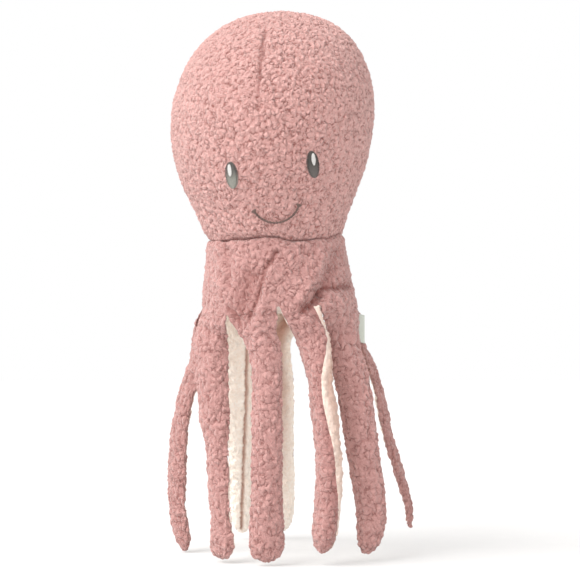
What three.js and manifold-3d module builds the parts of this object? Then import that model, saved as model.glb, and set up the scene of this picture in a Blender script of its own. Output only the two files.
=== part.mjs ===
// Plush octopus: a stuffed ball head on a short skirted torso with eight flat tentacles,
// curly pile fabric outside and cream lining inside. Millimetres, +Z up, face towards -Y.
import * as THREE from "three";
import { mergeVertices } from "three/addons/utils/BufferGeometryUtils.js";
import Module from "manifold-3d";

const wasm = await Module();
wasm.setup();

// Driving sizes
const gap = 0.3; // between pieces that are sewn or stuffed together
const pileWall = 3.2; // curly pile fabric
const liningWall = 2.6; // cream lining fabric
const overrun = 20; // by which a cutting solid passes what it cuts

// Head, measured from the neck seam up
const headHeight = 195;
const headWidth = 177;
const headDepth = 166;
const cheekHeight = 101; // level of the widest section
const cheekPower = 0.92; // how fully the cheeks round in to the neck
const crownPower = 0.87; // below 1, the crown is fuller than an ellipse
const headBow = 6; // the stuffed head leans out to one side above the neck
const bowPower = 0.7; // below 1, it leans most in its lower half
const crownShift = 5;

// Neck seam and torso, measured from the underside up
const neckWidth = 116;
const neckDepth = 100;
const neckHeight = 61.5;
const neckShift = -3.5;
const creaseDepth = 3; // how far the neck seam is pulled in
const neckHem = 12; // fabric turned in under the head and over the torso
const rimWidth = 136;
const rimDepth = 116;
const skirtPower = 0.55; // how quickly the skirt opens below the neck
const nodLimit = THREE.MathUtils.degToRad(12);
const nodSpare = THREE.MathUtils.degToRad(0.4);

// Face, laid out on a vertical plane in front of the head
const faceRoll = THREE.MathUtils.degToRad(7.5);
const faceHeight = 56; // of the middle between the eyes, above the neck seam
const faceShift = -1.9;
const eyeSpacing = 67.2;
const eyeWidth = 10.8;
const eyeHeight = 21.7;
const eyeThickness = 1.4; // of the satin stitching
const highlightWidth = 4.3;
const highlightHeight = 9;
const highlightOut = 1.3;
const highlightUp = 5.2;
const highlightThickness = 0.8;
const mouthDrop = 31; // from the eyes' level to the ends of the smile
const mouthWidth = 39;
const mouthSag = 12.4;
const mouthLine = 2;
const mouthThickness = 1.2;
const mouthTick = 4.4; // the short stitch across each end of the smile

// Dart seam that shapes the forehead, and the seam line up the back
const dartFoot = { side: -13.3, height: 94 };
const dartTop = { side: -7.5 };
const dartWidth = 2.4;
const dartDepth = 1.6;

// Folded blank label in the right side seam
const labelHeight = 24;
const labelReach = 13;
const labelThickness = 1.4;
const labelOverhang = 5; // how far the fold stands out past the skirt

// Flat middle of the underside, which the toy sits on, inside the tentacles' roots
const seatStep = 0.6; // by which it stands below the rest of the underside
const seatMargin = 24; // from the skirt's rim

// Tentacles
const tentacleLength = 210; // from the underside to the floor, straight down
const tentacleWidth = 29;
const tentacleThickness = 16;
const inwardLimit = THREE.MathUtils.degToRad(6);
const inwardSpare = THREE.MathUtils.degToRad(1);

// Facets
const headSegments = 28;
const crownRings = 8;
const cheekRings = 7;
const crownEndShare = 0.97; // the last ring lies this far up the crown's arc
const hemShare = 0.1; // the first ring above the neck seam, on the way to the cheeks
const torsoRings = 6;
const halfSteps = 6; // along one side of a tentacle's section
const stitchSteps = 10; // around an eye, and half of those along the smile
const foldSteps = 4; // around the label's fold

// Where each tentacle hangs at rest. Angle is around the rim from the front, in degrees.
// side, back and drop are shares of the tentacle's length, at each stop down to the tip.
// twist is in degrees at the root, a third, two thirds and the tip. fullShare scales thickness.
const tentacles = [
  {
    angle: -112.5,
    sideShares: [-0.05, -0.08, -0.14, -0.161, -0.12],
    backShares: [0.005, 0.02, 0.04, 0.05, 0.05],
    dropShares: [0.07, 0.224, 0.447, 0.8, 1],
    twist: [0, 50, 58, 58],
    widthShares: [0.95, 0.93, 0.86, 0.68],
    fullShare: 0.85,
  },
  {
    angle: -67.5,
    sideShares: [-0.016, -0.007, 0.011, 0.03, 0.034],
    backShares: [-0.01, -0.04, -0.05, -0.065, -0.07],
    dropShares: [0.08, 0.33, 0.55, 0.84, 0.99],
    twist: [0, 46, 18, 30],
    widthShares: [1, 1.05, 0.74, 0.84],
    fullShare: 1,
  },
  {
    angle: -22.5,
    sideShares: [0.036, 0.056, 0.061, 0.061, 0.06],
    backShares: [-0.006, -0.01, -0.02, -0.03, -0.02],
    dropShares: [0.1, 0.18, 0.36, 0.67, 0.99],
    twist: [0, 15, 22, 22],
    widthShares: [1.08, 0.92, 0.95, 1.12],
    fullShare: 1,
  },
  {
    angle: 22.5,
    sideShares: [0.034, 0.054, 0.08, 0.084, 0.062],
    backShares: [-0.01, -0.02, -0.03, -0.035, -0.03],
    dropShares: [0.15, 0.28, 0.52, 0.7, 0.955],
    twist: [0, -82, -76, -68],
    widthShares: [1, 0.95, 0.92, 0.85],
    fullShare: 1.4,
  },
  {
    angle: 67.5,
    sideShares: [0.004, 0.026, 0.066, 0.1, 0.08],
    backShares: [-0.015, -0.03, -0.045, -0.05, -0.05],
    dropShares: [0.14, 0.286, 0.55, 0.82, 0.97],
    twist: [0, -60, -66, -64],
    widthShares: [1.05, 1.02, 0.97, 0.8],
    fullShare: 1,
  },
  {
    angle: 118,
    sideShares: [0.066, 0.129, 0.188, 0.264, 0.28],
    backShares: [0.02, 0.035, 0.055, 0.08, 0.085],
    dropShares: [0.144, 0.286, 0.53, 0.8, 0.912],
    twist: [0, -45, -60, -60],
    widthShares: [0.95, 0.72, 0.6, 0.34],
    fullShare: 0.65,
  },
  {
    angle: -152,
    sideShares: [-0.016, -0.022, -0.028, -0.028],
    backShares: [0.04, 0.11, 0.24, 0.335],
    dropShares: [0.14, 0.32, 0.65, 0.975],
    twist: [0, 0, 0, 0],
    widthShares: [1.1, 0.98, 0.88, 0.82],
    fullShare: 0.9,
  },
  {
    angle: 172.5,
    sideShares: [-0.036, -0.04, -0.036, -0.034],
    backShares: [0.04, 0.11, 0.235, 0.325],
    dropShares: [0.14, 0.32, 0.65, 0.97],
    twist: [0, 6, 10, 6],
    widthShares: [1, 0.93, 0.88, 0.84],
    fullShare: 0.9,
  },
];
const stationShares = [0, 0.06, 0.13, 0.22, 0.34, 0.5, 0.67, 0.82, 0.91, 0.965, 1];
const tipRoundShare = 0.84; // past this share of its length a tentacle rounds off
const tipBluntShare = 0.3; // what is left of the section at the very end
const fillingEndShare = 0.92;
const leastHollowShare = 0.1; // of a section's width, where the walls close on each other

// Colours and cloth
const pink = 0xd3a09b;
const cream = 0xf1e7d6;
const charcoal = 0x4b4542;
const white = 0xf7f5f1;

function cloth(color, roughness) {
  return new THREE.MeshStandardMaterial({ color, roughness, metalness: 0 });
}

function named(name, geometry, color, roughness = 0.95) {
  const mesh = new THREE.Mesh(geometry, cloth(color, roughness));
  mesh.name = name;
  return mesh;
}

// A closed body from rings of equal count. Each side is split along the diagonal that
// leans towards greater lean values, or else along the shorter one, so that bodies nest.
// The ends are fans, or strips where a ring is an outer arc and an inner arc that runs back.
function loft(rings, { hollowSection = false, lean = null } = {}) {
  const count = rings[0].length;
  const positions = rings.flat().flatMap((p) => [p.x, p.y, p.z]);
  const faces = [];
  for (let r = 0; r + 1 < rings.length; r += 1) {
    for (let k = 0; k < count; k += 1) {
      const next = (k + 1) % count;
      const a = r * count + k;
      const b = r * count + next;
      const rising = lean ? lean[k] : rings[r][k].distanceTo(rings[r + 1][next]);
      const falling = lean ? lean[next] : rings[r][next].distanceTo(rings[r + 1][k]);
      if (rising < falling) {
        faces.push(a, b, b + count, a, b + count, a + count);
      } else {
        faces.push(a, b, a + count, b, b + count, a + count);
      }
    }
  }
  const last = (rings.length - 1) * count;
  if (hollowSection) {
    for (let k = 0; k + 1 < count / 2; k += 1) {
      const back = count - 1 - k;
      faces.push(k, back, k + 1, k + 1, back, back - 1);
      faces.push(last + k, last + k + 1, last + back, last + k + 1, last + back - 1, last + back);
    }
  } else {
    for (const [start, ring, turned] of [[0, rings[0], true], [last, rings.at(-1), false]]) {
      const centre = ring.reduce((sum, p) => sum.add(p), new THREE.Vector3()).divideScalar(count);
      const hub = positions.length / 3;
      positions.push(centre.x, centre.y, centre.z);
      for (let k = 0; k < count; k += 1) {
        const next = (k + 1) % count;
        faces.push(...(turned ? [start + next, start + k, hub] : [start + k, start + next, hub]));
      }
    }
  }
  const geometry = new THREE.BufferGeometry();
  geometry.setAttribute("position", new THREE.Float32BufferAttribute(positions, 3));
  geometry.setIndex(faces);
  return geometry;
}

function solid(geometry) {
  const bare = geometry.clone();
  bare.deleteAttribute("normal");
  bare.deleteAttribute("uv");
  const merged = mergeVertices(bare);
  const vertProperties = merged.attributes.position.array;
  const triVerts = new Uint32Array(merged.index.array);
  return new wasm.Manifold(new wasm.Mesh({ numProp: 3, vertProperties, triVerts }));
}

function surface(body) {
  const mesh = body.getMesh();
  const geometry = new THREE.BufferGeometry();
  geometry.setAttribute("position", new THREE.BufferAttribute(mesh.vertProperties, 3));
  geometry.setIndex(new THREE.BufferAttribute(mesh.triVerts, 1));
  return geometry;
}

// A box for cutting, given by its corners.
function block(low, high) {
  const size = new THREE.Vector3().subVectors(high, low);
  const middle = new THREE.Vector3().addVectors(low, high).multiplyScalar(0.5);
  const box = new THREE.BoxGeometry(size.x, size.y, size.z);
  return solid(box.translate(middle.x, middle.y, middle.z));
}

// Head form

// The neck ends are cut to a shallow roof, so that the head can nod by its limit.
const neckSlope = Math.tan(nodLimit / 2 + nodSpare);

// One ring of a round form. levelAt gives its level for a distance in front or behind.
function neckRing(halfWidth, halfDepth, side, levelAt) {
  const ring = [];
  for (let k = 0; k < headSegments; k += 1) {
    const turn = (k / headSegments) * 2 * Math.PI;
    const y = halfDepth * Math.sin(turn);
    ring.push(new THREE.Vector3(halfWidth * Math.cos(turn) + side, y, levelAt(Math.abs(y))));
  }
  return ring;
}

function headSide(height) {
  const share = height / headHeight;
  return crownShift * share - headBow * Math.sin(Math.PI * share ** bowPower);
}

// The head's outer form, grown by some thickness all over. lift raises its neck end.
function headForm(grow, lift = 0) {
  const bottom = (y) => gap / 2 + lift + y * neckSlope;
  const seamWidth = neckWidth / 2 - creaseDepth + grow;
  const seamDepth = neckDepth / 2 - creaseDepth + grow;
  const rings = [neckRing(seamWidth, seamDepth, 0, bottom)];
  for (let k = 1; k <= cheekRings; k += 1) {
    const height = cheekHeight * (hemShare + ((1 - hemShare) * k) / cheekRings);
    const full = Math.sin(((height / cheekHeight) * Math.PI) / 2) ** cheekPower;
    const halfWidth = (neckWidth + (headWidth - neckWidth) * full) / 2 + grow;
    const halfDepth = (neckDepth + (headDepth - neckDepth) * full) / 2 + grow;
    rings.push(neckRing(halfWidth, halfDepth, headSide(height), () => height));
  }
  for (let k = 1; k <= crownRings; k += 1) {
    const climb = (k / crownRings) * (Math.PI / 2) * crownEndShare;
    const rise = Math.sin(climb) ** crownPower;
    const inward = Math.cos(climb) ** crownPower;
    const height = cheekHeight + (headHeight - cheekHeight) * rise;
    const halfWidth = (headWidth / 2 + grow) * inward;
    const halfDepth = (headDepth / 2 + grow) * inward;
    const level = height + grow * rise;
    rings.push(neckRing(halfWidth, halfDepth, headSide(height), () => level));
  }
  return solid(loft(rings));
}

// The round opening that the hem leaves, as a plug that the filling comes through.
// Its lower end lies along the seam's slope, on the head's side or the torso's.
function neckPlug(shrink, side, near, far) {
  const halfWidth = neckWidth / 2 - neckHem - shrink;
  const halfDepth = neckDepth / 2 - neckHem - shrink;
  const end = (y) => side * (near + y * neckSlope);
  const rings = [
    neckRing(halfWidth, halfDepth, 0, end),
    neckRing(halfWidth, halfDepth, 0, () => side * far),
  ];
  return solid(loft(side > 0 ? rings : rings.reverse()));
}

const neckPoint = new THREE.Vector3(neckShift, 0, neckHeight);
const head = new THREE.Group();
head.position.copy(neckPoint);

const headShell = headForm(0)
  .subtract(headForm(-pileWall, pileWall))
  .subtract(neckPlug(0, 1, -overrun, overrun));
const headStuffing = headForm(-pileWall - gap, pileWall + gap)
  .add(neckPlug(gap, 1, gap / 2, overrun));
const reach = new THREE.Vector3(headWidth, headDepth, headHeight + overrun);

// The narrow wedge along the dart, as a groove that dies out at its foot.
function dartBlade() {
  const top = headHeight + overrun;
  const outline = new THREE.Shape();
  outline.moveTo(dartFoot.side, dartFoot.height);
  outline.lineTo(dartTop.side + dartWidth / 2, top);
  outline.lineTo(dartTop.side - dartWidth / 2, top);
  const blade = new THREE.ExtrudeGeometry(outline, { depth: headDepth, bevelEnabled: false });
  blade.rotateX(Math.PI / 2);
  return solid(blade).subtract(headForm(-dartDepth));
}

const frontHalf = block(
  new THREE.Vector3(-reach.x, -reach.y, -overrun),
  new THREE.Vector3(reach.x, -gap / 2, reach.z),
);
const backHalves = [
  [-reach.x, dartTop.side - gap / 2, "head_back_right_panel"],
  [dartTop.side + gap / 2, reach.x, "head_back_left_panel"],
];
const headFront = headShell.intersect(frontHalf).subtract(dartBlade());
head.add(named("head_front_panel", surface(headFront), pink));
for (const [low, high, name] of backHalves) {
  const half = block(new THREE.Vector3(low, gap / 2, -overrun), new THREE.Vector3(high, reach.y, reach.z));
  head.add(named(name, surface(headShell.intersect(half)), pink));
}
head.add(named("head_filling", surface(headStuffing), cream));

// Face, stitched on the front panel. Each piece is an outline pushed back through
// a skin that lies just over the fabric.
const face = new THREE.Matrix4()
  .makeRotationY(-faceRoll)
  .setPosition(faceShift, 0, faceHeight);

function skinOver(inner, thickness) {
  return headForm(inner + thickness).subtract(headForm(inner));
}

function stitched(outline, inner, thickness) {
  const extrusion = { depth: headDepth, bevelEnabled: false, curveSegments: stitchSteps };
  const prism = new THREE.ExtrudeGeometry(outline, extrusion);
  prism.rotateX(Math.PI / 2);
  prism.applyMatrix4(face);
  return surface(solid(prism).intersect(skinOver(inner, thickness)));
}

function oval(side, height, width, tall) {
  return new THREE.Shape().absellipse(side, height, width / 2, tall / 2, 0, 2 * Math.PI);
}

for (const [name, out] of [["right", -1], ["left", 1]]) {
  const centre = (out * eyeSpacing) / 2;
  const eye = oval(centre, 0, eyeWidth, eyeHeight);
  head.add(named(name + "_eye", stitched(eye, gap, eyeThickness), charcoal, 0.6));
  const highlight = oval(centre + out * highlightOut, highlightUp, highlightWidth, highlightHeight);
  const seat = gap + eyeThickness + gap;
  head.add(named(name + "_eye_highlight", stitched(highlight, seat, highlightThickness), white, 0.6));
}

// The smile is an arc through its ends and its lowest point, with a tick across each end.
function smile() {
  const half = mouthWidth / 2;
  const radius = (half * half + mouthSag * mouthSag) / (2 * mouthSag);
  const spread = Math.asin(half / radius);
  const centre = new THREE.Vector2(0, radius - mouthSag - mouthDrop);
  const at = (turn, r) => new THREE.Vector2(Math.sin(turn) * r, -Math.cos(turn) * r).add(centre);
  const tickTurn = mouthLine / 2 / radius;
  const outside = radius + mouthTick / 2;
  const inside = radius - mouthTick / 2;
  const turns = [];
  for (let k = -stitchSteps / 2; k <= stitchSteps / 2; k += 1) {
    turns.push(((spread - tickTurn) * 2 * k) / stitchSteps);
  }
  return new THREE.Shape([
    at(-spread - tickTurn, outside),
    at(-spread + tickTurn, outside),
    ...turns.map((turn) => at(turn, radius + mouthLine / 2)),
    at(spread - tickTurn, outside),
    at(spread + tickTurn, outside),
    at(spread + tickTurn, inside),
    at(spread - tickTurn, inside),
    ...turns.reverse().map((turn) => at(turn, radius - mouthLine / 2)),
    at(-spread + tickTurn, inside),
    at(-spread - tickTurn, inside),
  ]);
}
head.add(named("mouth", stitched(smile(), gap, mouthThickness), charcoal, 0.6));

// Torso
const torso = new THREE.Group();

// Grown by some thickness all over. floor is the level of its flat end, and drop lowers
// its neck end.
function torsoForm(grow, floor, drop = 0) {
  const roof = (y) => neckHeight - gap / 2 - drop - y * neckSlope;
  const levels = [floor];
  for (let k = floor < 0 ? 0 : 1; k < torsoRings; k += 1) {
    levels.push((neckHeight * (1 - hemShare) * k) / (torsoRings - 1));
  }
  const rings = levels.map((level) => {
    const rise = Math.max(level, 0) / neckHeight;
    const open = (1 - rise) ** skirtPower;
    const halfWidth = (neckWidth + (rimWidth - neckWidth) * open) / 2 + grow;
    const halfDepth = (neckDepth + (rimDepth - neckDepth) * open) / 2 + grow;
    return neckRing(halfWidth, halfDepth, neckShift * rise, () => Math.min(level, roof(halfDepth)));
  });
  const seamWidth = neckWidth / 2 - creaseDepth + grow;
  const seamDepth = neckDepth / 2 - creaseDepth + grow;
  rings.push(neckRing(seamWidth, seamDepth, neckShift, roof));
  return solid(loft(rings));
}

function torsoPlug(shrink, near, far) {
  return neckPlug(shrink, -1, near, far).translate([neckShift, 0, neckHeight]);
}

const torsoShell = torsoForm(0, 0)
  .subtract(torsoForm(-pileWall, -overrun, pileWall))
  .subtract(torsoPlug(0, -overrun, overrun));
const torsoStuffing = torsoForm(-pileWall - gap, liningWall + gap, pileWall + gap)
  .add(torsoPlug(gap, gap / 2, overrun));
const torsoBack = block(
  new THREE.Vector3(-rimWidth, gap / 2, -overrun),
  new THREE.Vector3(rimWidth, rimDepth, neckHeight + overrun),
);
const torsoFront = block(
  new THREE.Vector3(-rimWidth, -rimDepth, -overrun),
  new THREE.Vector3(rimWidth, -gap / 2, neckHeight + overrun),
);
torso.add(named("torso_front_panel", surface(torsoShell.intersect(torsoFront)), pink));
torso.add(named("torso_back_panel", surface(torsoShell.intersect(torsoBack)), pink));
torso.add(named("torso_filling", surface(torsoStuffing), cream));

// The cream underside, inside the rim of the skirt, with its flat middle a little lower.
function underside() {
  const ring = (margin, level) => neckRing(rimWidth / 2 - margin, rimDepth / 2 - margin, 0, () => level);
  const edge = pileWall + 2 * gap;
  const middle = [ring(seatMargin, 0), ring(seatMargin, seatStep)];
  return loft([...middle, ring(edge, seatStep), ring(edge, liningWall)]);
}
torso.add(named("underside_panel", underside(), cream));

// The label is a strip folded on itself, fold outwards, hanging from the end of the side seam.
function label() {
  const outline = new THREE.Shape();
  const half = labelThickness / 2;
  const fold = rimWidth / 2 + labelOverhang - half;
  outline.moveTo(fold - labelReach, -half);
  outline.lineTo(fold, -half);
  outline.absarc(fold, 0, half, -Math.PI / 2, Math.PI / 2);
  outline.lineTo(fold - labelReach, half);
  const extrusion = { depth: labelHeight, bevelEnabled: false, curveSegments: foldSteps };
  return new THREE.ExtrudeGeometry(outline, extrusion).translate(0, 0, -labelHeight - gap);
}
torso.add(named("side_label", label(), white, 0.8));

// Tentacles

// Reads a row of values that belong to even steps along a tentacle.
function alongRow(row, share) {
  const place = share * (row.length - 1);
  const step = Math.min(Math.floor(place), row.length - 2);
  const ease = place - step;
  return row[step] + (row[step + 1] - row[step]) * ease * ease * (3 - 2 * ease);
}

// Section sizes along a tentacle, rounded off towards the tip.
function sectionAt(spec, share) {
  const past = Math.max(0, (share - tipRoundShare) / (1 - tipRoundShare));
  const round = tipBluntShare + (1 - tipBluntShare) * Math.sqrt(Math.max(0, 1 - past * past));
  const halfWidth = (tentacleWidth / 2) * alongRow(spec.widthShares, share) * round;
  const halfThickness = (tentacleThickness / 2) * spec.fullShare * round;
  return { halfWidth, halfThickness };
}

// Half a section, from one edge over to the other: side is 1 for the outer half and -1 for
// the lining half, inset is how far it lies inside the tentacle's own surface.
function halfArc(section, inset, side, lift) {
  const points = [];
  const halfWidth = Math.max(section.halfWidth - inset, section.halfWidth * leastHollowShare);
  const rise = Math.max(section.halfThickness - inset - lift, 0);
  for (let k = 0; k <= halfSteps; k += 1) {
    const turn = (k / halfSteps) * Math.PI;
    points.push([halfWidth * Math.cos(turn), side * (lift + rise * Math.sin(turn))]);
  }
  return points;
}

function makeTentacle(spec, number) {
  const around = THREE.MathUtils.degToRad(spec.angle);
  const out = new THREE.Vector3(Math.sin(around) / rimWidth, -Math.cos(around) / rimDepth, 0).normalize();
  const hinge = new THREE.Vector3((rimWidth / 2) * Math.sin(around), (-rimDepth / 2) * Math.cos(around), 0);
  const turn = Math.atan2(-out.x, out.y);
  const up = new THREE.Vector3(0, 0, 1);
  const limb = new THREE.Group();
  limb.name = "tentacle_" + number;
  limb.position.copy(hinge);
  limb.rotation.z = turn;

  // The middle line, in the limb's own frame: x along the hinge, y outwards.
  const root = new THREE.Vector3(0, -(tentacleThickness / 2) * spec.fullShare, 0);
  const stops = [root];
  spec.sideShares.forEach((sideShare, k) => {
    const shift = new THREE.Vector3(sideShare, spec.backShares[k], 0).multiplyScalar(tentacleLength);
    shift.applyAxisAngle(up, -turn);
    shift.z = -spec.dropShares[k] * tentacleLength;
    stops.push(shift.add(root));
  });
  const line = new THREE.CatmullRomCurve3(stops);
  const rootSlope = Math.tan(inwardLimit + inwardSpare);

  const ringAt = (share, points) => {
    const middle = line.getPointAt(share);
    const along = line.getTangentAt(share);
    const twist = THREE.MathUtils.degToRad(alongRow(spec.twist, share));
    const across = new THREE.Vector3(1, 0, 0).applyAxisAngle(up, twist);
    const outwards = new THREE.Vector3().crossVectors(across, along).normalize();
    const level = new THREE.Vector3().crossVectors(along, outwards);
    return points.map(([u, v]) => {
      if (share === 0) {
        return new THREE.Vector3(u, root.y + v, -gap + (root.y + v) * rootSlope);
      }
      return middle.clone().addScaledVector(level, u).addScaledVector(outwards, v);
    });
  };

  const halfPoints = (side, wall) => (share) => {
    const section = sectionAt(spec, share);
    const outer = halfArc(section, 0, side, gap / 2);
    const inner = halfArc(section, wall, side, gap / 2).reverse();
    const points = [...outer, ...inner];
    return side > 0 ? points.reverse() : points;
  };
  const fillingPoints = (share) => {
    const section = sectionAt(spec, share);
    const over = halfArc(section, pileWall + gap, 1, 0);
    const under = halfArc(section, liningWall + gap, -1, 0).reverse();
    const below = under.slice(1, -1).map(([u, v], k) => [over[halfSteps - 1 - k][0], v]);
    return [...over, ...below].reverse();
  };
  const body = (pointsAt, shares, hollowSection) => {
    const rings = shares.map((share) => ringAt(share, pointsAt(share)));
    const lean = pointsAt(shares[1]).map(([u]) => u);
    return loft(rings, { hollowSection, lean });
  };
  const filled = stationShares.filter((share) => share < fillingEndShare);
  limb.add(named(limb.name + "_outer", body(halfPoints(1, pileWall), stationShares, true), pink));
  limb.add(named(limb.name + "_lining", body(halfPoints(-1, liningWall), stationShares, true), cream));
  limb.add(named(limb.name + "_filling", body(fillingPoints, filled, false), cream));
  return limb;
}

// The whole toy, standing on its lowest tip over the middle of its own box.
const octopus = new THREE.Group();
octopus.add(torso, head);
tentacles.forEach((spec, index) => octopus.add(makeTentacle(spec, index + 1)));
octopus.updateMatrixWorld(true);
const box = new THREE.Box3().setFromObject(octopus, true);
const middle = box.getCenter(new THREE.Vector3());
const group = new THREE.Group();
octopus.position.set(-middle.x, -middle.y, -box.min.z);
group.add(octopus);

export default group;
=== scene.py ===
import math

import bmesh
import bpy
import numpy as np
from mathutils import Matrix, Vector
from mathutils.bvhtree import BVHTree


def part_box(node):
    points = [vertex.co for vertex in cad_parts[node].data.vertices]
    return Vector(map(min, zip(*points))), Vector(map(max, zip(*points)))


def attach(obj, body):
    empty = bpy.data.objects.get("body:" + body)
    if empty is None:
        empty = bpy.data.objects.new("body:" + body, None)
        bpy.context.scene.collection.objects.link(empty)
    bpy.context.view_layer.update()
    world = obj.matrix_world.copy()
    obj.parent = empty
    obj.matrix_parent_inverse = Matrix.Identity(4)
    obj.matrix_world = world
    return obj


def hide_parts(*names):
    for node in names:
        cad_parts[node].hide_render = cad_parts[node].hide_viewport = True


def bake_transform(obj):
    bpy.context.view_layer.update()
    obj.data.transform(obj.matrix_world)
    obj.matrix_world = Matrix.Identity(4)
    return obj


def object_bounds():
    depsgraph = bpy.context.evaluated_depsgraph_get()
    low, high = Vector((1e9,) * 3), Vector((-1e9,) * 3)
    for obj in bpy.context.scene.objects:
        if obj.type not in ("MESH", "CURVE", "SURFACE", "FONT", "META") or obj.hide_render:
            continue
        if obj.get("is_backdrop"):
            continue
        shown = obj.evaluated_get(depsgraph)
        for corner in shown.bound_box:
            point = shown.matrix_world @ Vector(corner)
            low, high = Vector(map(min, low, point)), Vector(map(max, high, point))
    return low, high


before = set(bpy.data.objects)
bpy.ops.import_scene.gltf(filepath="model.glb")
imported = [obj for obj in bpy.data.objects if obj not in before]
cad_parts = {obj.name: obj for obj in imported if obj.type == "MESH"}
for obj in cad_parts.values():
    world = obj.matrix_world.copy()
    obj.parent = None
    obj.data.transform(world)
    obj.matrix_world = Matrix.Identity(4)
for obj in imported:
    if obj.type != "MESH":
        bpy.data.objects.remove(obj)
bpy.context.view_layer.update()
undersideLow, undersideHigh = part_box("underside_panel")
rimCentre = np.array([
    (undersideLow[0] + undersideHigh[0]) / 2,
    (undersideLow[1] + undersideHigh[1]) / 2,
    undersideLow[2],
])
millimetre = 0.001
dice = np.random.default_rng(8)


# Node helpers

class Wire:
    def __init__(self, board, socket):
        self.board = board
        self.socket = socket

    def __add__(self, other):
        return self.board.maths("ADD", self, other)

    __radd__ = __add__

    def __sub__(self, other):
        return self.board.maths("SUBTRACT", self, other)

    def __rsub__(self, other):
        return self.board.maths("SUBTRACT", other, self)

    def __mul__(self, other):
        return self.board.maths("MULTIPLY", self, other)

    __rmul__ = __mul__

    def __truediv__(self, other):
        return self.board.maths("DIVIDE", self, other)

    def __rtruediv__(self, other):
        return self.board.maths("DIVIDE", other, self)


class Board:
    def __init__(self, tree):
        self.tree = tree

    def node(self, kind, settings=None, values=None, output=0):
        made = self.tree.nodes.new(kind)
        for key, value in (settings or {}).items():
            setattr(made, key, value)
        for key, value in (values or {}).items():
            if isinstance(value, Wire):
                self.tree.links.new(value.socket, made.inputs[key])
            else:
                made.inputs[key].default_value = value
        return Wire(self, made.outputs[output]) if made.outputs else made

    def maths(self, operation, first, second):
        return self.node("ShaderNodeMath", {"operation": operation}, {0: first, 1: second})

    def vectors(self, operation, first, second):
        return self.node("ShaderNodeVectorMath", {"operation": operation}, {0: first, 1: second})

    def scaled(self, vector, scale):
        return self.node("ShaderNodeVectorMath", {"operation": "SCALE"}, {0: vector, "Scale": scale})

    def ease(self, value, low, high):
        settings = {"interpolation_type": "SMOOTHSTEP"}
        return self.node("ShaderNodeMapRange", settings, {"Value": value, "From Min": low, "From Max": high})

    def noise(self, place, scale, detail=1.0, output=0):
        values = {"Vector": place, "Scale": scale, "Detail": detail}
        return self.node("ShaderNodeTexNoise", None, values, output)

    def mixed(self, factor, first, second):
        return self.node("ShaderNodeMix", {"data_type": "RGBA"}, {0: factor, 6: first, 7: second}, 2)

    def bump(self, strength, depth, height):
        values = {"Strength": strength, "Distance": depth, "Height": height}
        return self.node("ShaderNodeBump", None, values)

    def field(self, name, kind="FLOAT_VECTOR"):
        return self.node("GeometryNodeInputNamedAttribute", {"data_type": kind}, {"Name": name})


def paint(code):
    parts = [int(code[k:k + 2], 16) / 255 for k in (1, 3, 5)]
    return (*[p / 12.92 if p <= 0.04045 else ((p + 0.055) / 1.055) ** 2.4 for p in parts], 1.0)


def smooth(value):
    value = np.clip(value, 0, 1)
    return value * value * (3 - 2 * value)


def newTree(name, sizes):
    tree = bpy.data.node_groups.new(name, "GeometryNodeTree")
    tree.is_modifier = True
    for side in ("INPUT", "OUTPUT"):
        tree.interface.new_socket("Geometry", in_out=side, socket_type="NodeSocketGeometry")
    for size in sizes:
        tree.interface.new_socket(size, in_out="INPUT", socket_type="NodeSocketFloat")
    tree.interface.new_socket("Material", in_out="INPUT", socket_type="NodeSocketMaterial")
    board = Board(tree)
    given = tree.nodes.new("NodeGroupInput")
    return board, [Wire(board, socket) for socket in given.outputs[:len(sizes) + 2]]


def endTree(board, shape, finish):
    real = board.node("GeometryNodeRealizeInstances", None, {"Geometry": shape})
    smoothed = board.node("GeometryNodeSetShadeSmooth", None, {"Geometry": real})
    done = board.node("GeometryNodeSetMaterial", None, {"Geometry": smoothed, "Material": finish})
    end = board.tree.nodes.new("NodeGroupOutput")
    board.tree.links.new(done.socket, end.inputs[0])
    return board.tree


def applyTree(piece, tree, values):
    modifier = piece.modifiers.new("shape", "NODES")
    modifier.node_group = tree
    named = {s.name: s.identifier for s in tree.interface.items_tree if s.in_out == "INPUT"}
    for name, value in values.items():
        modifier[named[name]] = value
    return madePlain(piece, modifier)


def madePlain(piece, modifier):
    bpy.context.view_layer.update()
    mesh = bpy.data.meshes.new_from_object(piece.evaluated_get(bpy.context.evaluated_depsgraph_get()))
    piece.modifiers.remove(modifier)
    old = piece.data
    piece.data = mesh
    mesh.name = piece.name
    bpy.data.meshes.remove(old)
    return piece


# Curly pile. The same pattern shapes the fabric and colours it. Scales and reaches are in nubs.
curls = {
    "driftScale": 0.5, "driftDetail": 1.0, "driftReach": 1.5,
    "ruffleScale": 1.6, "ruffleDetail": 2.5, "ruffleReach": 1.15,
    "scatter": 0.9, "softness": 0.45, "domeWidth": 0.68,
    "wormScale": 1.6, "wormWidth": 0.14,
    "crackScale": 1.1, "crackWidth": 0.13, "crackSpan": (0.38, 0.62),
}


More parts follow.
